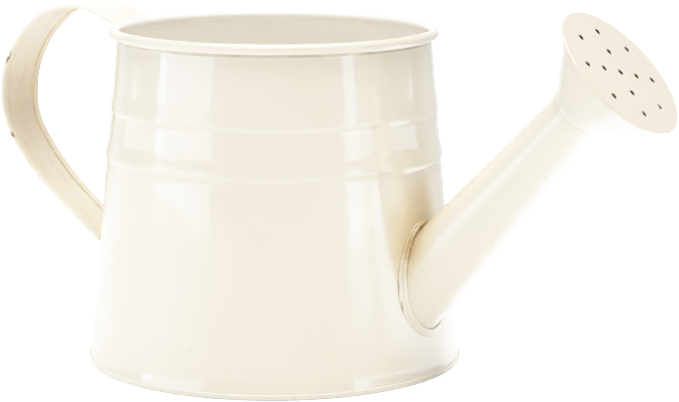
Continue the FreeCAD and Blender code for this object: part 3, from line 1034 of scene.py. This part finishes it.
def make_stage():
    """A pale table that ends in a straight edge behind the can, with wedges of daylight on both sides."""
    edge = around_camera(TABLE_EDGE_SIDE + 90, TABLE_EDGE_GAP)
    along = around_camera(TABLE_EDGE_SIDE, TABLE_SIZE)
    front = around_camera(TABLE_EDGE_SIDE - 90, TABLE_SIZE)
    corners = (edge - along, edge - along + front, edge + along + front, edge + along)
    floor = add_mesh("floor", corners, [(3, 2, 1, 0)])
    n = Nodes("floor_paper")
    grain = n.remap(n.noise(30, 3, 0.5), 0.3, 0.7, 0.0, 0.02)
    n.link(n.mix(grain, FLOOR_PALE, FLOOR_GREY), n.shader.inputs["Base Color"])
    n.shader.inputs["Roughness"].default_value = 0.9
    n.shader.inputs["Specular IOR Level"].default_value = 0.0
    light = n.times(n.add("ShaderNodeLightPath").outputs["Is Camera Ray"], FLOOR_GLOW)
    distance = n.vector("LENGTH", n.position)
    for left, right, start, strength in DAYLIT:
        past_left = n.vector("DOT_PRODUCT", n.position, around_camera(left + 90, 1.0))
        past_right = n.vector("DOT_PRODUCT", n.position, around_camera(right - 90, 1.0))
        patch = n.times(n.remap(past_left, -0.02, 0.04), n.remap(past_right, 0.0, 0.05))
        patch = n.times(patch, n.remap(distance, start, start + DAYLIT_FADE))
        light = n.math("MULTIPLY_ADD", patch, strength, light)
    n.link(light, n.shader.inputs["Emission Strength"])
    n.shader.inputs["Emission Color"].default_value = (*DAYLIGHT, 1.0)
    paint(floor, n.material)


def add_panel(name, sides, heights, radiance):
    """An upright panel of daylight between two sides of the can, in degrees left (-) or right of the camera's
    side, and between two heights in metres."""
    width = 2 * PANEL_DISTANCE * math.tan(math.radians((sides[1] - sides[0]) / 2))
    height = heights[1] - heights[0]
    middle = (sides[0] + sides[1]) / 2
    place = around_camera(middle, PANEL_DISTANCE, (heights[0] + heights[1]) / 2)
    data = bpy.data.lights.new(name, "AREA")
    data.shape = "RECTANGLE"
    data.size = width
    data.size_y = height
    data.energy = radiance * math.pi * width * height
    data.color = DAYLIGHT
    light = add_object(name, data)
    light.location = place
    light.rotation_euler = around_camera(middle, 1.0).to_track_quat("Z", "Y").to_euler()
    light.visible_camera = False


def make_room():
    """The room round the can: brightest overhead, bright behind it, and with a dim band to its right. Seen
    straight through the camera it is plain white."""
    world = bpy.data.worlds.new("studio")
    world.use_nodes = True
    bpy.context.scene.world = world
    room = Tree(world.node_tree)
    view = room.add("ShaderNodeTexCoord").outputs["Generated"]

    def lobe(side, height, reach):
        """Grows from 0 to 1 as the view nears one direction, between two angles in degrees from it."""
        start, end = reach
        lift = math.radians(height)
        near = room.vector("DOT_PRODUCT", view, around_camera(side, math.cos(lift), math.sin(lift)))
        return room.remap(near, math.cos(math.radians(start)), math.cos(math.radians(end)))

    level = room.math("ABSOLUTE", room.vector("DOT_PRODUCT", view, (0.0, 0.0, 1.0)))
    dim = room.times(lobe(DIM_SIDE, 0, DIM_REACH), room.remap(level, *DIM_LEVELS, 1.0, 0.0))
    light = room.math("MULTIPLY_ADD", dim, DIM_LIGHT, ROOM_LIGHT)
    light = room.math("MULTIPLY_ADD", lobe(0, 90, OVERHEAD_REACH), OVERHEAD_LIGHT, light)
    light = room.math("MULTIPLY_ADD", lobe(BRIGHT_SIDE, 0, BRIGHT_REACH), BRIGHT_LIGHT, light)
    seen = room.times(room.add("ShaderNodeLightPath").outputs["Is Camera Ray"], 2 * WHITE)
    background = room.tree.nodes["Background"]
    room.link(room.math("MAXIMUM", light, seen), background.inputs["Strength"])
    background.inputs["Color"].default_value = (1.0, 1.0, 1.0, 1.0)


def make_light():
    make_room()
    for name, (sides, heights, radiance) in PANELS.items():
        add_panel(name, sides, heights, radiance)


def set_tone():
    """Film-like shoulder: highlights roll off to white instead of clipping."""
    view = bpy.context.scene.view_settings
    view.view_transform = "Standard"
    view.use_curve_mapping = True
    mapping = view.curve_mapping
    mapping.white_level = (WHITE, WHITE, WHITE)
    curve = mapping.curves[3]
    for light, shown in SHOULDER:
        curve.points.new(light / WHITE, shown)
    mapping.update()


def make_camera():
    data = bpy.data.cameras.new("camera")
    data.sensor_width = SENSOR
    data.lens = LENS
    camera = add_object("camera", data)
    turn = Matrix.Rotation(math.radians(CAMERA_TURN), 3, "Z")
    tilt = Matrix.Rotation(math.radians(90 - CAMERA_TILT), 3, "X")
    roll = Matrix.Rotation(math.radians(CAMERA_ROLL), 3, "Z")
    camera.matrix_world = (turn @ tilt @ roll).to_4x4()
    camera.location = CAMERA_PLACE
    bpy.context.scene.camera = camera


# ------------ the can
def root_places(angles, offset, height):
    """Places round the spout's root in metres, at angles in degrees from its top."""
    turns = [math.radians(angle) for angle in angles]
    return [tuple(root_point(t, offset or flange_width(t), height) * MM) for t in turns]


ROOT_STAINS = root_places((-4, -25, -48), 2.2, 0.8)
FLANGE_SPOTS = root_places((-87, -108), None, 0.3)      # painted shade at the flange's own edge, where it steps onto the wall
cream = enamel("enamel_cream", CREAM, CREAM_DEEP)
# its faces towards the rose's axis are near black: painted shade inside the rose
cone_cream = enamel("enamel_rose_cone", CONE_CREAM, CREAM, inside="rose")
face_cream = enamel("enamel_rose_face", FACE_CREAM, CREAM_DEEP)
spout_cream = enamel("enamel_spout", CREAM, CREAM_DEEP, stain=0.85, ring=0.3, shade_spots=FLANGE_SPOTS)
# painted shade: a dark band on the wall just under the rim's roll
under_rim = (RIM_HEIGHT - RIM_ROLL - 0.3) * MM
# the wall's faces towards the can's axis are lightened: painted light inside the can
wall_cream = enamel("enamel_wall", CREAM, CREAM_DEEP, stain=0.95, inside="axis",
                    shade_bands=((under_rim, 0.0011),))
# painted shadow: a dark line round the base's foot, where it stands on the table
# the floor's faces that look up are lightened: painted light inside the can
base_cream = enamel("enamel_base", CREAM, CREAM_DEEP, inside="up", shade_bands=((0.0, 0.0007),))
root_cream = enamel("enamel_root", CREAM, CREAM_DEEP, stain=0.95, ring=0.8)
wire_steel = bare_metal("wire_steel", (0.5, 0.48, 0.45), 0.3, 0.5)

paint(make_wall(), wall_cream)
paint(make_base(), base_cream)
paint(make_spout(), spout_cream)
paint(make_rose_cone(), cone_cream)
paint(make_rose_face(), face_cream)
paint(make_root_ring(), root_cream)
paint(make_strap(), handle_enamel())
paint(make_bed("handle_top_bed", TOP_TAB, "handle_top_solder", 9), cream)
paint(make_bed("handle_foot_bed", FOOT_TAB, "handle_foot_solder", 10), cream)
for node in ("base_solder", "rose_solder", "rose_sleeve"):
    paint(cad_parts[node], cream)
paint(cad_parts["rim_wire"], wire_steel)

make_stage()
make_light()
make_camera()
set_tone()
